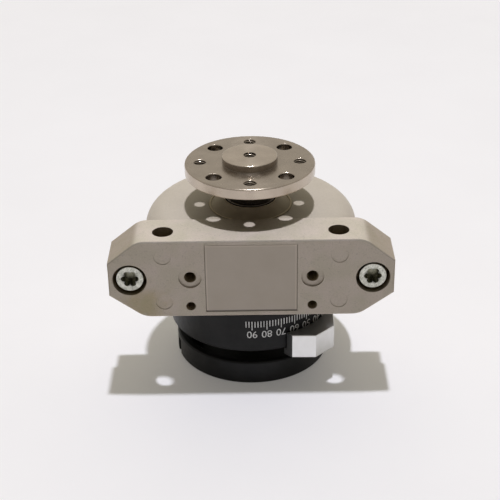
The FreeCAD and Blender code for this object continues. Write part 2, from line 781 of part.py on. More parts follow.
def make_bearing(name, bottom, shield_side):
    """Rings, balls, cage and the shield on the outer side (1 above the balls, -1 below)."""
    top = f"{bottom} + bearing_width"
    middle = f"{bottom} + bearing_width / 2"
    shield_radius = "race_outer_diameter / 2"

    def race(label, inner, outer):
        body = new_body(label)
        turn(body, [(inner, bottom), (outer, bottom), (outer, top), (inner, top)])
        groove(body, ("race_middle", middle, "ball_diameter + 2 * ball_gap"))
        finish(body, label)

    race(f"{name}_outer_ring", "race_outer_diameter / 2", "bearing_outside / 2")
    race(f"{name}_inner_ring", "bearing_bore / 2", "race_inner_diameter / 2")

    def balls(diameter):
        spheres = []
        for angle in BALLS:
            sphere = doc.addObject("Part::Sphere", "Ball")
            x, y = on_circle("race_middle * 2", angle)
            bind(sphere, Radius=f"({diameter}) / 2", Placement__Base__x=x, Placement__Base__y=y,
                 Placement__Base__z=middle)
            spheres.append(sphere)
        return spheres

    group(f"{name}_balls", balls("ball_diameter"))
    cage_bottom = middle if shield_side < 0 else f"{middle} - cage_height"
    outer = cylinder("race_middle * 2 + cage_thickness", "cage_height", z=cage_bottom)
    inner = cylinder("race_middle * 2 - cage_thickness", "cage_height", z=cage_bottom)
    pockets = join(balls("ball_diameter + ball_gap"))
    finish(subtract(subtract(outer, inner), pockets), f"{name}_cage")
    if shield_side > 0:
        shield_bottom = f"{top} - shield_inset - shield_thickness"
    else:
        shield_bottom = f"{bottom} + shield_inset"
    ring_part(f"{name}_shield", "race_inner_diameter / 2 + shield_gap", shield_radius, shield_bottom,
              f"{shield_bottom} + shield_thickness")


def make_bearings_and_seals():
    make_bearing("upper_bearing", "bearing_bottom", 1)
    make_bearing("lower_bearing", "low_bearing_bottom", -1)
    lip = "bearing_bore / 2 + seal_gap"
    ring_part("upper_shaft_seal", lip, "seal_diameter / 2", "seal_bottom", "bearing_bottom")
    ring_part("lower_shaft_seal", lip, "seal_diameter / 2", "low_seal_bottom", "low_seal_top")


def make_dust_shield():
    """A cone of sheet metal on the outer ring of the upper bearing, rising towards the shaft.

    Its rim lies in the lead-in of the housing.
    """
    foot = "dust_outer - dust_foot"
    rim_top = "housing_top + dust_rim_height"
    turned_part("dust_shield", [
        (foot, "bearing_top"),
        ("dust_outer", "bearing_top"),
        ("dust_rim", "housing_top"),
        ("dust_rim", rim_top),
        ("dust_cone", rim_top),
        ("dust_cone", "housing_top"),
        ("dust_inner + dust_lip", "bearing_top + dust_rise"),
        ("dust_inner", "bearing_top + dust_rise"),
        ("dust_inner", "bearing_top + dust_rise - dust_sheet"),
        ("dust_inner + dust_lip", "bearing_top + dust_rise - dust_sheet"),
        (foot, f"housing_top + (dust_cone - ({foot})) * dust_slope - dust_sheet"),
    ])


# Scale ring: black cup under the housing, with the wall that carries the rear cap

def stop_direction(side):
    """Where the lever points when it meets the stop of that side."""
    return f"{side} * swing"


def make_scale_ring():
    body = new_body("scale_ring")
    sector(body, "Additive", "post_outer_diameter / 2", "cap_floor", "web_bottom - cap_floor",
           "180 - post_angle / 2", "post_angle")
    pocket(body, "XY_Plane", [("0", "0", "post_inner_diameter")], "web_bottom", "web_bottom")
    outside = "ring_diameter / 2"
    bore = "ring_bore / 2"
    web_bore = "cover_hub_diameter / 2 + web_bore_gap"
    turn(body, [
        (bore, "ring_bottom"),
        (outside, "ring_bottom"),
        (outside, "block_bottom"),
        (bore, "block_bottom"),
        (bore, "cover_bottom"),
        (web_bore, "cover_bottom"),
        (web_bore, "web_bottom"),
        (bore, "web_bottom"),
    ])
    break_edges(body, "Chamfer", "ring_edge_break", circle_edge(outside, "ring_bottom"))
    places = [on_circle("ring_screw_circle", angle) for angle in RING_SCREWS]
    bores = [(*place, "screw_bore_diameter") for place in places]
    pocket(body, "XY_Plane", bores, "web_bottom", "screw_bore_depth", reverse=True)
    holes = [(*place, "screw_diameter + screw_hole_gap") for place in places]
    pocket(body, "XY_Plane", holes, "web_bottom", "web_thickness", reverse=True)
    for side in SIDES:
        for share in ("0", "stop_travel / 2", "stop_travel"):
            angle = f"{side} * (swing + stop_screw_turn + {share})"
            slot = (*on_circle("stop_screw_circle", angle), "stop_screw_diameter + stop_screw_slack")
            pocket(body, "XY_Plane", [slot], "web_bottom", "web_thickness", reverse=True)
        middle = f"{side} * (swing + stop_screw_turn + stop_travel / 2)"
        seat = (*on_circle("stop_screw_circle", middle), "stop_nut_pocket")
        pocket(body, "XY_Plane", [seat], "cover_bottom", "stop_nut_pocket_depth")
    taps = [(*place, "screw_diameter") for place in cap_screw_places()]
    pocket(body, "XY_Plane", taps, "cap_floor", "cap_screw_reach", reverse=True)
    finish(body, "scale_ring")


def make_ring_screws():
    places = [on_circle("ring_screw_circle", angle) for angle in RING_SCREWS]
    reach = "web_thickness - screw_bore_depth + ring_screw_reach"
    small_screws("ring_screws", places, "web_bottom + screw_bore_depth", reach)


# Rear cap: the foot of the drive

def cap_screw_places():
    return [on_circle("cap_screw_circle", f"(180 + {side} * cap_screw_split / 2)") for side in SIDES]


def make_rear_cap():
    body = new_body("rear_cap")
    outside = "cap_diameter / 2"
    inside = f"{outside} - cap_wall"
    turn(body, [
        ("0", "0"),
        (outside, "0"),
        (outside, "cap_height"),
        (inside, "cap_height"),
        (inside, "cap_floor"),
        ("0", "cap_floor"),
    ])
    break_edges(body, "Fillet", "cap_foot_round", circle_edge(outside, "0"))
    break_edges(body, "Chamfer", "cap_rim_break", circle_edge(outside, "cap_height"))
    places = cap_screw_places()
    bores = [(*place, "screw_bore_diameter") for place in places]
    holes = [(*place, "screw_diameter + screw_hole_gap") for place in places]
    pocket(body, "XY_Plane", bores, "0", "screw_bore_depth", reverse=True)
    pocket(body, "XY_Plane", holes, "0", "cap_floor", reverse=True)
    for angle in CAP_NOTCHES:
        notch = [turned_point(reach, f"{side} * notch_width / 2", angle)
                 for reach, side in ((inside, -1), ("cap_diameter", -1), ("cap_diameter", 1), (inside, 1))]
        pocket(body, "XY_Plane", [notch], "0", "notch_height", reverse=True)
    finish(body, "rear_cap")


def make_cap_screws():
    reach = "cap_floor - screw_bore_depth + cap_screw_reach"
    small_screws("cap_screws", cap_screw_places(), "screw_bore_depth", reach)


# Rotor: everything that swings with the shaft, drawn with the lever along +X

def key_slot(inner, outer):
    """The section of a key on the side away from the lever, by its two radii."""
    return [(f"-({outer})", "-key_width / 2"), (f"-({inner})", "-key_width / 2"),
            (f"-({inner})", "key_width / 2"), (f"-({outer})", "key_width / 2")]


def vane_key_bottom():
    return "(vane_top + vane_bottom - vane_key_length) / 2"


def make_drive_shaft():
    body = new_body("drive_shaft")
    seat = "lever_seat_diameter / 2"
    journal = "bearing_bore / 2"
    collar = "collar_diameter / 2"
    flange = "flange_diameter / 2"
    spigot = "spigot_diameter / 2"
    turn(body, [
        ("0", "lever_bottom + end_tap_depth"),
        ("end_tap_diameter / 2", "lever_bottom + end_tap_depth"),
        ("end_tap_diameter / 2", "lever_bottom"),
        (seat, "lever_bottom"),
        (seat, "low_bearing_bottom"),
        (journal, "low_bearing_bottom"),
        (journal, "bearing_top"),
        (collar, "bearing_top"),
        (collar, "collar_top"),
        (journal, "collar_top"),
        (journal, "flange_bottom"),
        (flange, "flange_bottom"),
        (flange, "flange_top"),
        (spigot, "flange_top"),
        (spigot, "spigot_top"),
        ("centre_diameter / 2", "spigot_top"),
        ("centre_diameter / 2", "spigot_top - centre_depth"),
        ("0", "spigot_top - centre_depth"),
    ])
    for level in ("flange_top", "flange_bottom"):
        break_edges(body, "Fillet", "flange_edge_round", circle_edge(flange, level))
    break_edges(body, "Fillet", "spigot_edge_round", circle_edge(spigot, "spigot_top"))
    break_edges(body, "Fillet", "collar_edge_round", circle_edge(collar, "collar_top"))
    for angles, diameter in ((FLANGE_HOLES, "flange_hole_diameter"), (FLANGE_TAPS, "flange_tap_diameter")):
        holes = [(*on_circle("flange_circle", f"({angle} - lever_rest)"), diameter) for angle in angles]
        pocket(body, "XY_Plane", holes, "flange_top", "flange_thickness")
        break_edges(body, "Chamfer", "flange_hole_break", circle_edge(f"{diameter} / 2", "flange_top"))
    pocket(body, "XY_Plane", [key_slot(f"{journal} - key_depth", f"{journal} + overrun")],
           f"{vane_key_bottom()} + vane_key_length", "vane_key_length")
    pocket(body, "XY_Plane", [key_slot(f"{seat} - key_depth", f"{seat} + overrun")],
           "lever_bottom + lever_key_length", "lever_key_length")
    finish(swing_with_shaft(body), "drive_shaft")


def make_key(label, middle, bottom, length):
    body = new_body(label)
    pad(body, "XY_Plane", [key_slot(f"{middle} - key_depth", f"{middle} + key_depth")], bottom, length)
    finish(swing_with_shaft(body), label)


def vane_frame(inset, radius, bottom, top):
    """Outline of the seal round the free edges of the vane, drawn out from the hub."""
    hub = "hub_diameter / 2"
    return [(hub, bottom), (radius, bottom), (radius, top), (hub, top),
            (hub, f"vane_top - {inset}"), (f"vane_radius - {inset}", f"vane_top - {inset}"),
            (f"vane_radius - {inset}", f"vane_bottom + {inset}"), (hub, f"vane_bottom + {inset}")]


def make_vane_rotor():
    body = new_body("vane_rotor")
    half = "vane_thickness / 2"
    blade = [("bearing_bore / 2 + key_depth", "vane_bottom"), ("vane_radius", "vane_bottom"),
             ("vane_radius", "vane_top"), ("bearing_bore / 2 + key_depth", "vane_top")]
    pad(body, "YZ_Plane", [blade], f"-{half}", "vane_thickness")
    turn(body, [("bearing_bore / 2", "vane_bottom"), ("hub_diameter / 2", "vane_bottom"),
                ("hub_diameter / 2", "vane_top"), ("bearing_bore / 2", "vane_top")])
    seal_slot = vane_frame("vane_seal_depth", "vane_radius + overrun", "vane_bottom - overrun",
                           "vane_top + overrun")
    pocket(body, "YZ_Plane", [seal_slot], "vane_seal_thickness / 2", "vane_seal_thickness")
    slot = key_slot("bearing_bore / 2 - overrun", "bearing_bore / 2 + key_depth")
    pocket(body, "XY_Plane", [slot], f"{vane_key_bottom()} + vane_key_length",
           f"{vane_key_bottom()} + vane_key_length - vane_bottom")
    finish(swing_with_shaft(body), "vane_rotor")


def make_vane_seal():
    body = new_body("vane_seal")
    edge = vane_frame("vane_seal_depth", "vane_seal_radius", "cover_top + vane_seal_gap",
                      "chamber_top - vane_seal_gap")
    pad(body, "YZ_Plane", [edge], "-vane_seal_thickness / 2", "vane_seal_thickness")
    finish(swing_with_shaft(body), "vane_seal")


def make_stop_lever():
    body = new_body("stop_lever")
    head_side = "lever_head_width / 2"
    arm_side = "lever_arm_width / 2"

    def mirrored(upper):
        return upper + [(x, f"-({y})") for x, y in reversed(upper)]

    head = [("lever_flare", head_side), ("lever_cheek", head_side), ("lever_reach", "lever_tip_width / 2")]
    plate = [("0", arm_side), ("lever_neck", arm_side)] + head
    pad(body, "XY_Plane", [mirrored(plate)], "lever_bottom", "lever_plate")
    pad(body, "XY_Plane", [mirrored(head)], "lever_plate_top", "lever_head_top - lever_plate_top")
    ring_path = ("0", "0", "ring_diameter + lever_ring_gap")
    pocket(body, "XY_Plane", [ring_path], "lever_head_top", "lever_head_top - lever_plate_top")

    def tip_edge(edge):
        return edge.BoundBox.XMin > value("lever_cheek") - NEAR

    break_edges(body, "Fillet", "lever_edge_break", tip_edge)
    arm = [("0", arm_side), ("lever_arm_reach", arm_side)]
    pad(body, "XY_Plane", [mirrored(arm)], "lever_bottom", "lever_arm_top - lever_bottom")
    pad(body, "XY_Plane", [("0", "0", "lever_hub_diameter")], "lever_bottom", "lever_arm_top - lever_bottom")
    pad(body, "XY_Plane", [("0", "0", "race_inner_diameter")], "lever_bottom",
        "low_bearing_bottom - lever_bottom")
    through = "low_bearing_bottom - lever_bottom"
    pocket(body, "XY_Plane", [("0", "0", "lever_seat_diameter")], "low_bearing_bottom", through)
    slot = key_slot("lever_seat_diameter / 2 - overrun", "lever_seat_diameter / 2 + key_depth")
    pocket(body, "XY_Plane", [slot], "lever_bottom + lever_key_length", "lever_key_length")
    finish(swing_with_shaft(body), "stop_lever")


def make_lever_fixing():
    bore = "end_tap_diameter / 2 + washer_gap"
    washer = ring_part("lever_washer", bore, "washer_diameter / 2", "washer_bottom", "lever_bottom")
    swing_with_shaft(washer)
    head_bottom = "washer_bottom - lever_screw_head_height"
    head = cylinder("lever_screw_head_diameter", "lever_screw_head_height", z=head_bottom)
    thread = cylinder("end_tap_diameter", "washer_thickness + lever_screw_reach", z="washer_bottom")
    finish(swing_with_shaft(join([head, thread])), "lever_screw")


# End stops: drawn with the lever's end position along +X, on the far side of it

def make_end_stop(name, side):
    turned = stop_direction(side)

    def place(thing, label):
        thing.Placement.Rotation = FreeCAD.Rotation(FreeCAD.Vector(0, 0, 1), value(turned))
        bind(thing, Placement__Rotation__Angle=turned)
        finish(thing, label)

    body = new_body(name)
    height = "web_bottom - stop_bottom"
    far_angle = f"{side} * stop_far_angle"
    start = "stop_inner_diameter / 2 - stop_waste"
    end = "stop_outer_diameter / 2 + stop_waste"
    wedge = [(start, f"{side} * stop_face"), (end, f"{side} * stop_face"),
             turned_point(end, "0", far_angle), turned_point(start, "0", far_angle)]
    pad(body, "XY_Plane", [wedge], "stop_bottom", height)
    outer_waste = [("0", "0", "stop_outer_diameter"), ("0", "0", "stop_outer_diameter * 2")]
    pocket(body, "XY_Plane", outer_waste, "web_bottom", height)
    pocket(body, "XY_Plane", [("0", "0", "stop_inner_diameter")], "web_bottom", height)
    screw_x, screw_y = on_circle("stop_screw_circle", f"({side} * stop_screw_turn)")
    hole = "stop_screw_diameter + stop_screw_slack"
    pocket(body, "XY_Plane", [(screw_x, screw_y, hole)], "web_bottom", height)
    bore = "stop_screw_head_diameter + stop_screw_slack"
    pocket(body, "XY_Plane", [(screw_x, screw_y, bore)], "stop_bottom", "stop_screw_head_height",
           reverse=True)
    buffer = [("buffer_radius", "buffer_level", "buffer_diameter")]
    buffer_depth = "buffer_length - buffer_proud"
    if side > 0:
        pocket(body, "XZ_Plane", buffer, "-stop_face", buffer_depth)
    else:
        pocket(body, "XZ_Plane", buffer, "stop_face", buffer_depth, reverse=True)
    place(body, name)

    rubber = new_body(f"{name}_buffer")
    face = "stop_face - buffer_proud"
    start = f"-({face} + buffer_length)" if side > 0 else face
    pad(rubber, "XZ_Plane", buffer, start, "buffer_length")
    place(rubber, f"{name}_buffer")

    seat = "stop_bottom + stop_screw_head_height"
    head = cylinder("stop_screw_head_diameter", "stop_screw_head_height", screw_x, screw_y, "stop_bottom")
    nut_bottom = "cover_bottom - stop_nut_pocket_depth"
    nut_top = f"{nut_bottom} + stop_nut_height"
    shank = cylinder("stop_screw_diameter", f"{nut_top} - ({seat})", screw_x, screw_y, seat)
    place(join([head, shank]), f"{name}_screw")

    nut = new_body(f"{name}_nut")
    half = "stop_nut_width / 2"
    square = [(f"{screw_x} + {run} * {half}", f"{screw_y} + {rise} * {half}")
              for run, rise in ((-1, -1), (1, -1), (1, 1), (-1, 1))]
    pad(nut, "XY_Plane", [square, (screw_x, screw_y, "stop_screw_diameter")], nut_bottom,
        "stop_nut_height")
    place(nut, f"{name}_nut")


def check_and_export():
    """Stop on any failed object, then write one file per sub-part."""
    doc.recompute()
    for thing in doc.Objects:
        if "Invalid" in thing.State or "Error" in thing.State:
            raise ValueError(f"{thing.Name} failed: {thing.State}")
    for thing in nodes:
        if thing.Shape.isNull() or not thing.Shape.isValid():
            raise ValueError(f"{thing.Label} has no valid shape")
    os.makedirs("parts", exist_ok=True)
    for thing in nodes:
        thing.Shape.exportStep(f"parts/{thing.Label}.step")
        print(f"{thing.Label}: {len(thing.Shape.Solids)} solids, {thing.Shape.Volume:.1f} mm3")


make_housing()
make_port_block()
make_name_plate()
make_block_screws()
make_port_seals()
make_bottom_cover()
make_cover_gasket()
make_cover_screws()
make_bearings_and_seals()
make_dust_shield()
make_scale_ring()
make_ring_screws()
make_rear_cap()
make_cap_screws()
make_drive_shaft()
make_key("vane_key", "bearing_bore / 2", vane_key_bottom(), "vane_key_length")
make_key("lever_key", "lever_seat_diameter / 2", "lever_bottom", "lever_key_length")
make_vane_rotor()
make_vane_seal()
make_stop_lever()
make_lever_fixing()
make_end_stop("front_stop", -1)
make_end_stop("rear_stop", 1)
check_and_export()
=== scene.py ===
import json
import math

import bmesh
import bpy
from mathutils import Matrix, Vector


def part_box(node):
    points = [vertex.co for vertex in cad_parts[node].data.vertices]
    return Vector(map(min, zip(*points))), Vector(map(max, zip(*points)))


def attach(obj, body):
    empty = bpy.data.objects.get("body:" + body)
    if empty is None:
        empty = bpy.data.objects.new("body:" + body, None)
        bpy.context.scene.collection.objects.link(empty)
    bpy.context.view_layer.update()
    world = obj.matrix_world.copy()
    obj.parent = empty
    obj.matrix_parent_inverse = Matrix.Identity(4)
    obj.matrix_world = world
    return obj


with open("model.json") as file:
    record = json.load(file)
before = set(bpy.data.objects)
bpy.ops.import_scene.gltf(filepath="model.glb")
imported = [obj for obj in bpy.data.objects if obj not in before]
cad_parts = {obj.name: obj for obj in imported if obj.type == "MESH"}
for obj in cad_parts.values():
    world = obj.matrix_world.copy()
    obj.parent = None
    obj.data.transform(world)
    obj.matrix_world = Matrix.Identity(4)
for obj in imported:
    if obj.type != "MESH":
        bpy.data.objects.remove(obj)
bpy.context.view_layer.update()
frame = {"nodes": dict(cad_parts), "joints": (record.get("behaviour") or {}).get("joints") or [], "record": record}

# Looks of a pneumatic rotary drive: satin metal housing, polished output flange, black degree scale.
# Everything is in metres, in the frame of the solids: the shaft is the Z axis and -Y is the port face.

MM = 0.001

nodes = frame["nodes"]
joints = {joint["name"]: joint for joint in frame["joints"]}
mounts = {mount["name"]: mount for mount in frame["record"]["mounts"]}

# Camera

IMAGE_PIXELS = 500
SENSOR_WIDTH = 36.0                     # millimetres, as the length of the lens
FOCAL_PIXELS = 1200.0
CAMERA_PLACE = Vector((1.35, -393.79, 254.85)) * MM
CAMERA_PITCH = math.radians(28.55)      # below the horizon
CAMERA_YAW = math.radians(-0.26)
CAMERA_ROLL = math.radians(-0.90)

# Light and floor

KEY_DIRECTION = Vector((0.03, 0.045, 1.0))
KEY_DISTANCE = 2.2
KEY_SIZE = 0.10
KEY_LEVEL = 0.69                        # share of full white that the key light gives a level floor
KEY_TINT = (0.98, 1.0, 1.085)
AMBIENT_FRONT = 0.05                    # soft light from the camera's side
AMBIENT_BACK = 0.82
AMBIENT_SIDES = 0.10                    # share of it that comes level from the left and right
AMBIENT_TURN = (-0.35, 0.65)            # where the soft light grows from front to back
AMBIENT_TINT = (1.06, 1.0, 0.77)
REFLECTED_FRONT = 0.40                  # what polished metal sees on the camera's side
REFLECTED_BACK = 0.50
REFLECTED_TINT = (1.03, 0.985, 0.91)
BACKDROP_LEVEL = 0.90
BACKDROP_TINT = (1.0, 0.995, 1.0)
FLOOR_HALF = 3.0
FLOOR_GLOW = 0.16                       # painted light: the floor glows to lift the shadows on it
FLOOR_FAR_GLOW = 0.52                   # makes up for the key light far from the object
FLOOR_LIT = 0.4                         # radius up to which the key light is even
FLOOR_GLOW_TINT = (1.0, 0.97, 0.94)

# Scale on the black ring

RING_LOW, RING_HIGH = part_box("scale_ring")
RING_RADIUS = (RING_HIGH.x - RING_LOW.x) / 2
PRINT_INNER = RING_RADIUS - 0.02 * MM   # the print is sunk a little into the ring
PRINT_OUTER = RING_RADIUS + 0.03 * MM
SCALE_STEP = 2                          # degrees between ticks
SCALE_LONG_STEP = 10
SCALE_END = 94                          # degrees either way of +X
TICK_TOP = RING_HIGH.z - 2.8 * MM
TICK_LONG = 3.6 * MM
TICK_SHORT = 2.5 * MM
TICK_WIDTH = 0.34 * MM
NUMBER_TOP = RING_HIGH.z - 6.9 * MM
NUMBER_HEIGHT = 2.8 * MM
WELD = 0.001 * MM                       # distance within which points of a number are joined

# Threads

THREAD_PITCH = 0.8 * MM
THREAD_RIDGE = 0.22 * MM                # how far the ridge stands into the hole
THREAD_FOOT = 0.45                      # half the width of the ridge, as a share of the pitch
THREAD_START = 0.7 * MM
THREAD_STEPS = 28                       # facets in one turn
BLOCK_TURNS = 7
FLANGE_TURNS = 3
CENTRE_TURNS = 9

# Solids with more than one tone, mostly painted light and shade, with one oil stain. A pair gives the places
# between which one tone passes into the next.

UPWARDS = (0.0, 0.0, 1.0)
FRONT_EDGE = (0.0, -0.707, 0.707)       # the way the broken edge along the block's front top faces
SWING_START = -90                       # degrees, where the lever points at the lower end of its swing
LEVER_TURN = math.radians(SWING_START - joints["shaft_swivel"]["range_deg"][0])
SHAFT_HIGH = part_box("drive_shaft")[1]
FLANGE_TOP = mounts["flange_holes"]["pos_m"][2]
FLANGE_THICKNESS = 4.1 * MM
FLANGE_UNDERSIDE = FLANGE_TOP - FLANGE_THICKNESS
# Painted shade below the flange, painted highlight on the spigot, and the outer rim that the flange's painted
# shade leaves out:
NECK_SHADE_TOP = (FLANGE_UNDERSIDE - 0.6 * MM, FLANGE_UNDERSIDE - 0.3 * MM)
SPIGOT_HIGHLIGHT = (FLANGE_TOP + 0.3 * MM, FLANGE_TOP + 2.0 * MM)
FLANGE_RIM = (SHAFT_HIGH.x - 1.0 * MM, SHAFT_HIGH.x - 0.6 * MM)
SOCKET_CORE = (1.4 * MM, 2.0 * MM)      # radii in the sockets of the port block's screws
SOCKET_RIM = (2.5 * MM, 3.2 * MM)
# Painted highlights and painted shade on the name plate:
PLATE_SIDE_HIGHLIGHT = (0.75 * MM, 0.45 * MM)  # distances from the edges of the name plate
PLATE_SIDE_SHADE = (0.25 * MM, 0.1 * MM)
PLATE_TOP_HIGHLIGHT = (0.8 * MM, 0.4 * MM)
PLATE_LOWER_SHADE = (0.35 * MM, 0.65 * MM)
STAIN_INSET = 12.0 * MM                 # of the oil stain on the block's front, from its left end
STAIN_RISE = 4.5 * MM                   # and above its lower edge
STAIN_EDGE = (3.0 * MM, 10.0 * MM)      # distances from its middle
STAIN_STRAY = 3.0 * MM                  # how far its edge wanders either way

# Values of textures

CLEAN = (1.0, 1.0, 1.0)                 # a stain that leaves the colour as it is
EVEN = (1.0, 1.0, 1.0)                  # a grain that isn't drawn out
MIDDLE = (0.3, 0.7)                     # the values that most of a noise lies between
TONES = (0.35, 0.65)                    # the values of a noise that the two tones of a colour belong to
WAVE_RATE = 20                          # radians per metre of a wave texture with a scale of 1
QUARTER_TURN = 0.25


class Network:
    """A tree of shader nodes."""

    def __init__(self, tree):
        self.tree = tree

    def feed(self, node, inputs):
        """Give a node its inputs: each is a plain value, or an output of another node."""
        for name, value in inputs.items():
            if isinstance(value, bpy.types.NodeSocket):
                self.tree.links.new(value, node.inputs[name])
            else:
                node.inputs[name].default_value = value

    def node(self, kind, inputs, **settings):
        """Add a node and return its outputs."""
        node = self.tree.nodes.new(f"ShaderNode{kind}")
        for name, setting in settings.items():
            setattr(node, name, setting)
        self.feed(node, inputs)
        return node.outputs

    def numbers(self, operation, first, second):
        """Arithmetic on two numbers."""
        return self.node("Math", {0: first, 1: second}, operation=operation)["Value"]

    def vectors(self, operation, *inputs):
        """Arithmetic on vectors, which gives a Vector or a Value."""
        return self.node("VectorMath", dict(enumerate(inputs)), operation=operation)

    def spread(self, source, low, high, start, end, interpolation="LINEAR"):
        """Go from low to high where a texture goes from start to end."""
        inputs = {"Value": source, "From Min": start, "From Max": end, "To Min": low, "To Max": high}
        return self.node("MapRange", inputs, interpolation_type=interpolation)["Result"]

    def ramp(self, source, first, last, start, end):
        """A colour that goes from first to last where a texture goes from start to end."""
        ramp = self.tree.nodes.new("ShaderNodeValToRGB")
        for stop, place, color in zip(ramp.color_ramp.elements, (start, end), (first, last)):
            stop.position = place
            stop.color = (*color, 1.0)
        self.feed(ramp, {"Fac": source})
        return ramp.outputs["Color"]


class Look(Network):
    """A material with one principled shader, textured by the place of a point on the solid."""

    def __init__(self, name, color, metallic, roughness):
        self.material = bpy.data.materials.new(name)
        self.material.use_nodes = True
        super().__init__(self.material.node_tree)
        self.shader = self.tree.nodes["Principled BSDF"]
        coordinates = self.node("TexCoord", {})
        self.place = coordinates["Object"]
        self.normal = coordinates["Normal"]
        self.paint((*color, 1.0))
        self.set({"Metallic": metallic, "Roughness": roughness})

    def set(self, inputs):
        """Give the shader inputs."""
        self.feed(self.shader, inputs)

    def wear(self, *names):
        """Give this material to solids of the frame."""
        for name in names:
            slots = nodes[name].data.materials
            slots.clear()
            slots.append(self.material)

    # Textures

    def noise(self, grain, detail=3.0, stretch=EVEN):
        """Noise with a grain size in metres, drawn out along the axes by stretch."""
        shrink = [1.0 / factor for factor in stretch]
        drawn_out = self.node("Mapping", {"Vector": self.place, "Scale": shrink})["Vector"]
        inputs = {"Vector": drawn_out, "Scale": 1.0 / grain, "Detail": detail}
        return self.node("TexNoise", inputs)["Fac"]

    def turning_marks(self, pitch):
        """Rings about the shaft axis, as a lathe tool leaves them."""
        inputs = {"Vector": self.place, "Scale": 2 * math.pi / (WAVE_RATE * pitch),
                  "Distortion": 1.5, "Detail": 2.0}
        return self.node("TexWave", inputs, wave_type="RINGS", rings_direction="Z")["Fac"]

    def height(self):
        """How high a point lies on the solid."""
        return self.node("SeparateXYZ", {"Vector": self.place})["Z"]

    def radius(self, centre=(0.0, 0.0, 0.0), along=(1.0, 1.0, 0.0), mirrored=False):
        """Distance from a centre along some of the axes. Mirrored, the left side has its own centre."""
        place = self.vectors("ABSOLUTE", self.place)["Vector"] if mirrored else self.place
        offset = self.vectors("SUBTRACT", place, centre)["Vector"]
        return self.vectors("LENGTH", self.vectors("MULTIPLY", offset, along)["Vector"])["Value"]

    def facing(self, direction):
        """How squarely a surface faces a direction of the solid, from -1 to 1."""
        return self.vectors("DOT_PRODUCT", self.normal, direction)["Value"]

    # Colour

    def paint(self, color):
        """Give the surface a colour, which later steps start from."""
        self.color = color
        self.set({"Base Color": color})

    def tint(self, grain, dark, light, detail=3.0, stretch=EVEN):
        """Colour the surface in two tones that mingle."""
        self.paint(self.ramp(self.noise(grain, detail, stretch), dark, light, *TONES))

    def dim(self, source, low, high, start, end):
        """Scale the colour by low to high where a texture goes from start to end."""
        inputs = {0: self.color, "Scale": self.spread(source, low, high, start, end)}
        self.paint(self.node("VectorMath", inputs, operation="SCALE")["Vector"])

    def mottle(self, grain, low, high):
        """Make the colour uneven."""
        self.dim(self.noise(grain), low, high, *MIDDLE)

    def stain(self, source, first, last, start, end):
        """Multiply the colour by first to last where a texture goes from start to end. Used for real stains and
        for painted shade alike.
        """
        stain = self.ramp(source, first, last, start, end)
        self.paint(self.vectors("MULTIPLY", self.color, stain)["Vector"])

    def crevices(self, reach, shade, start=0.0, end=0.5):
        """Painted shade: the colour is darkened and warm-tinted where other surfaces stand close by, within a
        reach in metres.
        """
        openness = self.node("AmbientOcclusion", {"Distance": reach}, samples=8)["AO"]
        self.stain(openness, shade, CLEAN, start, end)

    # Surface

    def roughen(self, grain, low, high):
        """Make the roughness uneven."""
        self.set({"Roughness": self.spread(self.noise(grain), low, high, *MIDDLE)})

    def turned_sheen(self, strength):
        """Draw highlights out across the tool marks of a part turned about its Z axis."""
        tangent = self.node("Tangent", {}, direction_type="RADIAL", axis="Z")["Tangent"]
        self.set({"Tangent": tangent, "Anisotropic": strength, "Anisotropic Rotation": QUARTER_TURN})

    def relief(self, *layers, edge=0.0):
        """Fine relief from (texture, height in metres) layers, over edges rounded by a radius."""
        below = {}
        if edge:
            below = {"Normal": self.node("Bevel", {"Radius": edge}, samples=6)["Normal"]}
        for texture, height in layers:
            bump = self.node("Bump", {"Height": texture, "Distance": height, **below})
            below = {"Normal": bump["Normal"]}
        self.set(below)


# Materials

def cast_metal():
    """Housing: die casting with a smooth satin coat."""
    look = Look("cast_silver", (0.56, 0.49, 0.405), metallic=0.1, roughness=0.5)
    look.tint(18 * MM, (0.522, 0.460, 0.383), (0.558, 0.494, 0.416), detail=4.0)
    look.mottle(0.5 * MM, 0.96, 1.04)
    # Painted shade: darker and browner under the flange and where parts stand close together.
    look.crevices(20 * MM, (0.50, 0.42, 0.22), end=0.65)
    look.roughen(3 * MM, 0.45, 0.56)
    look.relief((look.noise(0.5 * MM), 0.008 * MM), (look.noise(2.5 * MM), 0.012 * MM), edge=0.25 * MM)
    look.wear("housing")


def shield_metal():
    """Dust shield: pressed steel, dull and a little oily, with painted shade on its slope."""
    look = Look("shield_metal", (0.79, 0.68, 0.52), metallic=0.0, roughness=0.6)
    look.tint(4 * MM, (0.75, 0.64, 0.49), (0.83, 0.72, 0.55), detail=4.0)
    look.set({"Specular IOR Level": 0.2})
    # Painted shade: the slope is darker than the flat top rim.
    look.dim(look.facing(UPWARDS), 0.68, 1.0, start=0.94, end=0.98)
    look.relief((look.noise(0.5 * MM), 0.005 * MM), edge=0.15 * MM)
    look.wear("dust_shield")


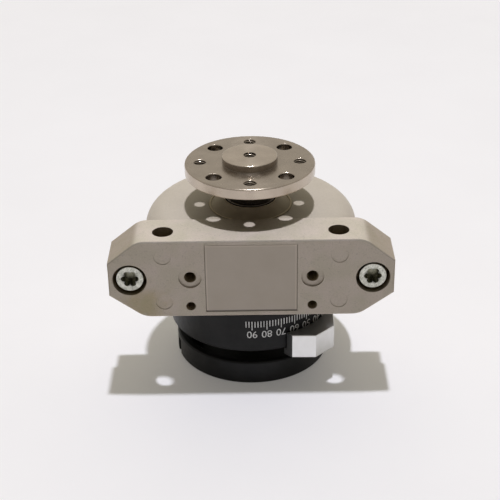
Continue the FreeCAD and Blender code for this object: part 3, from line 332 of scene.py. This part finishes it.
def block_metal():
    """Port block: matt blasted metal, pitted, with an oil stain and painted light and shade."""
    look = Look("block_silver", (0.55, 0.48, 0.395), metallic=0.08, roughness=0.54)
    look.tint(7 * MM, (0.523, 0.466, 0.375), (0.577, 0.500, 0.430), detail=5.0)
    look.mottle(0.45 * MM, 0.94, 1.06)
    pits = look.noise(0.9 * MM, detail=6.0)
    look.dim(pits, 0.90, 1.0, start=0.34, end=0.40)
    # Painted light: the top is lighter, the other faces a little darker.
    look.dim(look.facing(UPWARDS), 0.95, 1.09, start=0.82, end=0.98)
    # Painted shade on the sloped ends, warm-tinted.
    for side in (-1.0, 1.0):
        look.stain(look.facing((side, 0.0, 0.0)), CLEAN, (0.715, 0.675, 0.62), start=0.4, end=0.6)
    # Painted shade along the broken edge at the front top.
    look.dim(look.facing(FRONT_EDGE), 1.0, 0.72, start=0.80, end=0.88)
    spill_oil(look)
    # Painted shade in the holes and ports and under the flange.
    look.crevices(20 * MM, (0.45, 0.34, 0.17))
    look.roughen(2 * MM, 0.48, 0.60)
    look.relief((look.noise(0.35 * MM), 0.009 * MM), (look.noise(1.8 * MM), 0.010 * MM), edge=0.2 * MM)
    look.wear("port_block")


def spill_oil(look):
    """A brown stain with a ragged edge, at the lower left of the port block's front."""
    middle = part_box("port_block")[0] + Vector((STAIN_INSET, 0.0, STAIN_RISE))
    stray = look.spread(look.noise(4 * MM, detail=4.0), -STAIN_STRAY, STAIN_STRAY, *MIDDLE)
    distance = look.numbers("ADD", look.radius(middle, along=(1.0, 1.0, 1.0)), stray)
    cleanness = look.spread(distance, 0.0, 1.0, *STAIN_EDGE)
    look.stain(cleanness, (0.86, 0.82, 0.65), CLEAN, start=0.0, end=1.0)


def thread_metal():
    """Cut threads of the port block: bare and a little oily."""
    look = Look("thread_metal", (0.27, 0.215, 0.135), metallic=0.3, roughness=0.4)
    look.tint(0.6 * MM, (0.22, 0.17, 0.105), (0.32, 0.26, 0.165))
    look.relief((look.noise(0.3 * MM), 0.004 * MM))
    return look.material


def plate_metal():
    """Bare name plate: satin foil, with painted highlights along its sides and top, a painted dark line at its
    very sides and painted shadow along its lower edge.
    """
    look = Look("plate_silver", (0.475, 0.415, 0.345), metallic=0.08, roughness=0.48)
    look.tint(9 * MM, (0.462, 0.403, 0.333), (0.490, 0.429, 0.361), detail=4.0)
    low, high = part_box("name_plate")
    beside = look.radius(along=(1.0, 0.0, 0.0))
    look.dim(beside, 1.0, 1.18, *(high.x - inset for inset in PLATE_SIDE_HIGHLIGHT))
    look.dim(beside, 1.0, 0.72, *(high.x - inset for inset in PLATE_SIDE_SHADE))
    look.dim(look.height(), 1.0, 1.18, *(high.z - inset for inset in PLATE_TOP_HIGHLIGHT))
    look.dim(look.height(), 0.40, 1.0, *(low.z + inset for inset in PLATE_LOWER_SHADE))
    look.relief((look.noise(0.3 * MM), 0.004 * MM), edge=0.4 * MM)
    look.wear("name_plate")


def polished_nickel():
    """Output shaft: the flange turned, plated and polished, with painted shade below it, on its underside and on
    its hole and spigot walls, and a painted highlight up the spigot.
    """
    look = Look("nickel", (0.54, 0.465, 0.385), metallic=1.0, roughness=0.24)
    look.tint(7 * MM, (0.52, 0.447, 0.370), (0.60, 0.518, 0.428), detail=4.0, stretch=(1.0, 1.0, 8.0))
    # Painted shade: everything below the flange's underside is darkened.
    look.dim(look.height(), 0.25, 1.0, *NECK_SHADE_TOP)
    # Painted highlight: the spigot lighter than the flange below it.
    look.dim(look.height(), 0.92, 1.18, *SPIGOT_HIGHLIGHT)
    # Painted shade on walls and underside: every face but the top and the outer rim is darkened.
    level = look.spread(look.facing(UPWARDS), 0.0, 1.0, start=0.3, end=0.6)
    rim = look.spread(look.radius(), 0.0, 1.0, *FLANGE_RIM)
    look.dim(look.numbers("MAXIMUM", level, rim), 0.42, 1.0, start=0.0, end=1.0)
    # Painted shade in the holes and at the foot of the spigot.
    look.crevices(5 * MM, (0.09, 0.07, 0.045), end=0.55)
    look.roughen(2.5 * MM, 0.20, 0.28)
    look.turned_sheen(0.6)
    look.relief((look.turning_marks(0.16 * MM), 0.0005 * MM), (look.noise(1.2 * MM), 0.0006 * MM),
                edge=0.2 * MM)
    look.wear("drive_shaft")


def lever_steel():
    """Stop lever: bright on the faces of the head that point outwards, with painted shade on its other faces,
    darkest on one flank, and a little on the tip.
    """
    look = Look("lever_steel", (0.85, 0.85, 0.835), metallic=1.0, roughness=0.36)
    look.tint(3 * MM, (0.79, 0.79, 0.775), (0.83, 0.83, 0.82), detail=4.0)
    # Painted shade: faces that don't point outwards are darker, the tip a little and one flank most.
    outwards = look.facing((math.cos(LEVER_TURN), math.sin(LEVER_TURN), 0.0))
    look.dim(outwards, 0.42, 1.0, start=0.4, end=0.6)
    look.dim(outwards, 1.0, 0.86, start=0.8, end=0.95)
    flank = look.facing((math.sin(LEVER_TURN), -math.cos(LEVER_TURN), 0.0))
    look.dim(flank, 1.0, 0.25, start=0.8, end=0.9)
    look.roughen(1.2 * MM, 0.34, 0.42)
    look.relief((look.noise(0.5 * MM), 0.003 * MM), edge=0.25 * MM)
    look.wear("stop_lever")


def zinc_steel(name, shade):
    """Zinc plated steel, a little stained, with painted shade where other surfaces stand close."""
    look = Look(name, (0.56, 0.56, 0.50), metallic=1.0, roughness=0.36)
    look.tint(1.4 * MM, (0.44, 0.445, 0.39), (0.67, 0.67, 0.605), detail=5.0)
    # Painted shade in sockets and where the heads sit in their bores.
    look.crevices(5 * MM, shade, start=0.2, end=0.85)
    look.roughen(1.2 * MM, 0.30, 0.44)
    look.relief((look.noise(0.4 * MM), 0.006 * MM), edge=0.3 * MM)
    return look


def bright_steel():
    """Hidden screws, keys and nuts."""
    look = zinc_steel("bright_steel", (0.28, 0.27, 0.20))
    look.wear("lever_washer", "lever_screw", "cover_screws", "ring_screws", "cap_screws",
              "front_stop_screw", "rear_stop_screw", "front_stop_nut", "rear_stop_nut",
              "vane_key", "lever_key")


def socket_steel():
    """Screws of the port block: blotchy, with painted shade in the driver's socket."""
    look = zinc_steel("socket_steel", (0.62, 0.60, 0.47))
    low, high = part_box("block_screws")
    head_radius = (high.z - low.z) / 2
    axis = (high.x - head_radius, 0.0, low.z + head_radius)
    beside = look.radius(axis, along=(1.0, 0.0, 1.0), mirrored=True)
    # Painted shade: a dark ring in the socket round a lighter middle.
    core = look.spread(beside, 0.8, 0.0, *SOCKET_CORE)
    rim = look.spread(beside, 0.0, 1.0, *SOCKET_RIM)
    look.dim(look.numbers("MAXIMUM", core, rim), 0.45, 1.0, start=0.0, end=1.0)
    blotches = look.noise(0.6 * MM, detail=5.0)
    look.dim(blotches, 0.62, 1.0, start=0.38, end=0.48)
    look.wear("block_screws")


def bearing_steel():
    """Bearing rings and balls: ground steel, coloured dark brown as painted shade for the upper bearing under the
    flange.
    """
    look = Look("bearing_steel", (0.14, 0.12, 0.095), metallic=0.8, roughness=0.3)
    look.tint(2 * MM, (0.12, 0.105, 0.08), (0.16, 0.14, 0.11))
    look.relief((look.turning_marks(0.1 * MM), 0.0005 * MM), edge=0.1 * MM)
    for bearing in ("upper_bearing", "lower_bearing"):
        look.wear(f"{bearing}_outer_ring", f"{bearing}_inner_ring", f"{bearing}_balls")


def cage_brass():
    """Ball cages: pressed brass."""
    look = Look("brass_cage", (0.62, 0.47, 0.22), metallic=1.0, roughness=0.34)
    look.tint(3 * MM, (0.57, 0.42, 0.19), (0.66, 0.51, 0.25))
    look.relief((look.noise(0.5 * MM), 0.006 * MM))
    look.wear("upper_bearing_cage", "lower_bearing_cage")


def black_rubber():
    """Seals, the gasket and the buffers."""
    look = Look("black_rubber", (0.02, 0.02, 0.02), metallic=0.0, roughness=0.6)
    look.tint(2 * MM, (0.014, 0.014, 0.013), (0.028, 0.028, 0.026))
    look.relief((look.noise(0.4 * MM), 0.01 * MM))
    look.wear("port_seals", "cover_gasket", "upper_shaft_seal", "lower_shaft_seal", "vane_seal",
              "front_stop_buffer", "rear_stop_buffer")


def shield_rubber():
    """Seals of the ball bearings: dark brown."""
    look = Look("shield_rubber", (0.075, 0.06, 0.042), metallic=0.0, roughness=0.45)
    look.tint(2 * MM, (0.062, 0.05, 0.034), (0.088, 0.072, 0.05))
    look.relief((look.noise(0.4 * MM), 0.006 * MM))
    look.wear("upper_bearing_shield", "lower_bearing_shield")


def black_plastic():
    """Scale ring and rear cap: black moulding with a faint grain."""
    look = Look("black_plastic", (0.009, 0.009, 0.009), metallic=0.0, roughness=0.4)
    look.tint(5 * MM, (0.007, 0.007, 0.0075), (0.012, 0.012, 0.0118), detail=4.0)
    # Painted shade where the ring and cap meet other parts.
    look.crevices(5 * MM, (0.2, 0.2, 0.2), end=0.75)
    look.roughen(1.5 * MM, 0.36, 0.46)
    look.set({"Specular IOR Level": 0.2})
    look.relief((look.noise(0.25 * MM), 0.006 * MM), (look.noise(4 * MM), 0.02 * MM), edge=0.2 * MM)
    look.wear("scale_ring", "rear_cap")


def cover_metal():
    """Bottom cover of the vane chamber: turned and left bare."""
    look = Look("cover_metal", (0.60, 0.57, 0.53), metallic=0.9, roughness=0.38)
    look.tint(4 * MM, (0.57, 0.54, 0.50), (0.63, 0.60, 0.56))
    look.relief((look.turning_marks(0.3 * MM), 0.002 * MM), edge=0.15 * MM)
    look.wear("bottom_cover")


def vane_plastic():
    """Vane: dark filled plastic."""
    look = Look("vane_plastic", (0.10, 0.10, 0.105), metallic=0.0, roughness=0.3)
    look.tint(1.2 * MM, (0.085, 0.085, 0.09), (0.12, 0.12, 0.125))
    look.relief((look.noise(0.3 * MM), 0.008 * MM), edge=0.15 * MM)
    look.wear("vane_rotor")


def stop_metal():
    """End stops: blackened metal."""
    look = Look("stop_metal", (0.05, 0.05, 0.05), metallic=0.6, roughness=0.45)
    look.tint(2 * MM, (0.035, 0.035, 0.035), (0.06, 0.06, 0.058))
    look.relief((look.noise(0.4 * MM), 0.01 * MM), edge=0.2 * MM)
    look.wear("front_stop", "rear_stop")


def white_print():
    """Paint of the scale, slightly uneven."""
    look = Look("white_print", (0.72, 0.72, 0.70), metallic=0.0, roughness=0.55)
    look.tint(0.8 * MM, (0.60, 0.60, 0.585), (0.80, 0.80, 0.785), detail=4.0)
    return look.material


# Pieces

def add_object(name, data):
    """Put a new object into the scene."""
    new = bpy.data.objects.new(name, data)
    bpy.context.scene.collection.objects.link(new)
    return new


def add_piece(name, shape, body, slot, material):
    """Put a drawn shape on a body of the frame."""
    bmesh.ops.recalc_face_normals(shape, faces=shape.faces)
    mesh = bpy.data.meshes.new(name)
    shape.to_mesh(mesh)
    shape.free()
    mesh.materials.append(material)
    piece = add_object(name, mesh)
    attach(piece, body)


def on_circle(angle, radius, height):
    """A point at an angle about the shaft."""
    return Vector((radius * math.cos(angle), radius * math.sin(angle), height))


def on_print(angle, depth, height):
    """A point of the print, on its outer side where the depth is above zero."""
    return on_circle(angle, PRINT_OUTER if depth > 0 else PRINT_INNER, height)


def scale_values():
    """The angles of the ticks in degrees: negative in front, positive behind."""
    return range(-SCALE_END, SCALE_END + 1, SCALE_STEP)


def add_ticks(material):
    """Thin raised strokes round the black ring."""
    half_angle = TICK_WIDTH / 2 / RING_RADIUS
    shape = bmesh.new()
    for value in scale_values():
        length = TICK_LONG if value % SCALE_LONG_STEP == 0 else TICK_SHORT
        for corner in bmesh.ops.create_cube(shape, size=2.0)["verts"]:
            side, depth, rise = corner.co
            angle = math.radians(value) + side * half_angle
            corner.co = on_print(angle, depth, TICK_TOP if rise > 0 else TICK_TOP - length)
    add_piece("scale_ticks", shape, "housing", "black_plastic", material)


def number_mesh(text):
    """A number of unit height, centred, its lower edge at zero, with a front and a back."""
    curve = bpy.data.curves.new("number", "FONT")
    curve.body = text
    curve.align_x = "CENTER"
    curve.extrude = 0.5
    curve.resolution_u = 6
    letters = add_object("number", curve)
    bpy.context.view_layer.update()
    mesh = bpy.data.meshes.new_from_object(letters)
    bpy.data.objects.remove(letters)
    heights = [vertex.co.y for vertex in mesh.vertices]
    low = min(heights)
    scale = 1.0 / (max(heights) - low)
    for vertex in mesh.vertices:
        vertex.co.x *= scale
        vertex.co.y = (vertex.co.y - low) * scale
    return mesh


def add_numbers(material):
    """Degrees below the long ticks, upside down because the scale is read with the flange down."""
    shape = bmesh.new()
    for value in scale_values():
        if value % SCALE_LONG_STEP:
            continue
        first = len(shape.verts)
        flat = number_mesh(str(abs(value)))
        shape.from_mesh(flat)
        bpy.data.meshes.remove(flat)
        shape.verts.ensure_lookup_table()
        for vertex in shape.verts[first:]:
            across, up, depth = vertex.co
            angle = math.radians(value) - across * NUMBER_HEIGHT / RING_RADIUS
            vertex.co = on_print(angle, depth, NUMBER_TOP - up * NUMBER_HEIGHT)
    bmesh.ops.remove_doubles(shape, verts=shape.verts, dist=WELD)
    add_piece("scale_numbers", shape, "housing", "black_plastic", material)


def add_thread(hole, mouth, inward, radius, turns, seat):
    """A helical ridge on the wall of a tapped hole. The seat is its body, a slot that is not used, and its
    material.
    """
    axis = Vector(inward)
    across = axis.orthogonal().normalized()
    beside = axis.cross(across)
    section = ((radius, -THREAD_FOOT), (radius - THREAD_RIDGE, 0.0), (radius, THREAD_FOOT))
    corners = len(section)
    shape = bmesh.new()
    rings = []
    for step in range(turns * THREAD_STEPS + 1):
        turn = 2 * math.pi * step / THREAD_STEPS
        depth = THREAD_START + THREAD_PITCH * step / THREAD_STEPS
        out = across * math.cos(turn) + beside * math.sin(turn)
        rings.append([shape.verts.new(mouth + out * reach + axis * (depth + share * THREAD_PITCH))
                      for reach, share in section])
    for ring, following in zip(rings, rings[1:]):
        for corner in range(corners):
            other = (corner + 1) % corners
            shape.faces.new((ring[corner], ring[other], following[other], following[corner]))
    shape.faces.new(rings[0])
    shape.faces.new(rings[-1])
    add_piece(f"{hole}_thread", shape, *seat)


def add_block_threads():
    """Threads of the air ports and of the small holes below them."""
    seat = ("housing", "block_silver", thread_metal())
    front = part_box("port_block")[0].y
    backwards = (0, 1, 0)

    def add_block_thread(hole, x, z, radius_mm):
        add_thread(hole, Vector((x, front, z)), backwards, radius_mm * MM, BLOCK_TURNS, seat)

    for port in ("port_left", "port_right"):
        x, _, z = mounts[port]["pos_m"]
        add_block_thread(port, x, z, mounts[port]["dims"]["r_mm"])
    taps = mounts["front_taps"]
    half_spacing = taps["dims"]["spacing_x_mm"] / 2 * MM
    for hole, x in (("front_tap_left", -half_spacing), ("front_tap_right", half_spacing)):
        add_block_thread(hole, x, taps["pos_m"][2], taps["dims"]["hole_r_mm"])


def add_shaft_threads():
    """Threads of the tapped holes in the flange and of the one in the middle of the shaft."""
    seat = ("rotor", "nickel", nodes["drive_shaft"].data.materials[0])
    downwards = (0, 0, -1)
    taps = mounts["flange_taps"]["dims"]
    for number in range(taps["count"]):
        mouth = on_circle(2 * math.pi * number / taps["count"], taps["pcd_mm"] / 2 * MM, FLANGE_TOP)
        add_thread(f"flange_tap_{number}", mouth, downwards, taps["hole_r_mm"] * MM, FLANGE_TURNS, seat)
    mouth = Vector((0, 0, SHAFT_HIGH.z))
    radius = mounts["shaft_centre"]["dims"]["r_mm"] * MM
    add_thread("shaft_centre", mouth, downwards, radius, CENTRE_TURNS, seat)


# Stage

def add_floor():
    """A pale table top that glows faintly: painted light that lifts the shadows on it, stronger far off to make up
    for the key light.
    """
    look = Look("pale_floor", (0.737, 0.720, 0.737), metallic=0.0, roughness=0.7)
    look.tint(60 * MM, (0.730, 0.713, 0.730), (0.744, 0.727, 0.744))
    glow = look.spread(look.radius(), FLOOR_GLOW, FLOOR_FAR_GLOW, FLOOR_LIT, FLOOR_HALF)
    look.set({"Emission Color": (*FLOOR_GLOW_TINT, 1.0), "Emission Strength": glow})
    corners = [(x * FLOOR_HALF, y * FLOOR_HALF, 0) for x, y in ((-1, -1), (1, -1), (1, 1), (-1, 1))]
    mesh = bpy.data.meshes.new("floor")
    mesh.from_pydata(corners, [], [(0, 1, 2, 3)])
    mesh.materials.append(look.material)
    floor = add_object("floor", mesh)


def add_key_light():
    """A small softbox overhead, a little behind the object, for the crisp shadow below the flange."""
    light = bpy.data.lights.new("key", "AREA")
    light.shape = "DISK"
    light.size = KEY_SIZE
    light.energy = KEY_LEVEL * math.pi ** 2 * KEY_DISTANCE ** 2
    light.color = KEY_TINT
    direction = KEY_DIRECTION.normalized()
    lamp = add_object("key", light)
    lamp.location = direction * KEY_DISTANCE
    lamp.rotation_euler = direction.to_track_quat("Z", "Y").to_euler()


def add_surroundings():
    """Soft light, dimmer from the camera's side, with a white backdrop for the camera."""
    world = bpy.data.worlds.new("studio")
    bpy.context.scene.world = world
    world.use_nodes = True
    world.node_tree.nodes.clear()
    studio = Network(world.node_tree)
    direction = studio.node("SeparateXYZ", {"Vector": studio.node("TexCoord", {})["Generated"]})
    rays = studio.node("LightPath", {})

    def front_to_back(front, back):
        return studio.spread(direction["Y"], front, back, *AMBIENT_TURN, interpolation="SMOOTHSTEP")

    def background(color, level):
        return studio.node("Background", {"Color": (*color, 1.0), "Strength": level})["Background"]

    sideways = studio.numbers("MULTIPLY", direction["X"], direction["X"])
    share = studio.spread(sideways, 1.0, AMBIENT_SIDES, start=0.0, end=1.0)
    ambient = studio.numbers("MULTIPLY", front_to_back(AMBIENT_FRONT, AMBIENT_BACK), share)
    seen = background(AMBIENT_TINT, ambient)
    reflected = background(REFLECTED_TINT, front_to_back(REFLECTED_FRONT, REFLECTED_BACK))
    backdrop = background(BACKDROP_TINT, BACKDROP_LEVEL)
    for ray, light in (("Is Glossy Ray", reflected), ("Is Camera Ray", backdrop),
                       ("Is Transmission Ray", backdrop)):
        seen = studio.node("MixShader", {"Fac": rays[ray], 1: seen, 2: light})["Shader"]
    studio.node("OutputWorld", {"Surface": seen})


def add_camera():
    """A camera that looks down on the port face, turned by its yaw, pitch and roll."""
    lens = bpy.data.cameras.new("camera")
    lens.sensor_width = SENSOR_WIDTH
    lens.lens = SENSOR_WIDTH * FOCAL_PIXELS / IMAGE_PIXELS
    forward = Vector((math.sin(CAMERA_YAW) * math.cos(CAMERA_PITCH),
                      math.cos(CAMERA_YAW) * math.cos(CAMERA_PITCH),
                      -math.sin(CAMERA_PITCH)))
    level = Vector((math.cos(CAMERA_YAW), -math.sin(CAMERA_YAW), 0.0))
    upright = level.cross(forward)
    right = level * math.cos(CAMERA_ROLL) + upright * math.sin(CAMERA_ROLL)
    up = upright * math.cos(CAMERA_ROLL) - level * math.sin(CAMERA_ROLL)
    turn = Matrix((right, up, -forward)).transposed()
    camera = add_object("camera", lens)
    camera.matrix_world = Matrix.Translation(CAMERA_PLACE) @ turn.to_4x4()
    bpy.context.scene.camera = camera


for dress in (cast_metal, shield_metal, block_metal, plate_metal, polished_nickel, lever_steel,
              bright_steel, socket_steel, bearing_steel, cage_brass, black_rubber, shield_rubber,
              black_plastic, cover_metal, vane_plastic, stop_metal):
    dress()
print_paint = white_print()
add_ticks(print_paint)
add_numbers(print_paint)
add_block_threads()
add_shaft_threads()
add_floor()
add_key_light()
add_surroundings()
add_camera()
bpy.context.scene.view_settings.view_transform = "Standard"
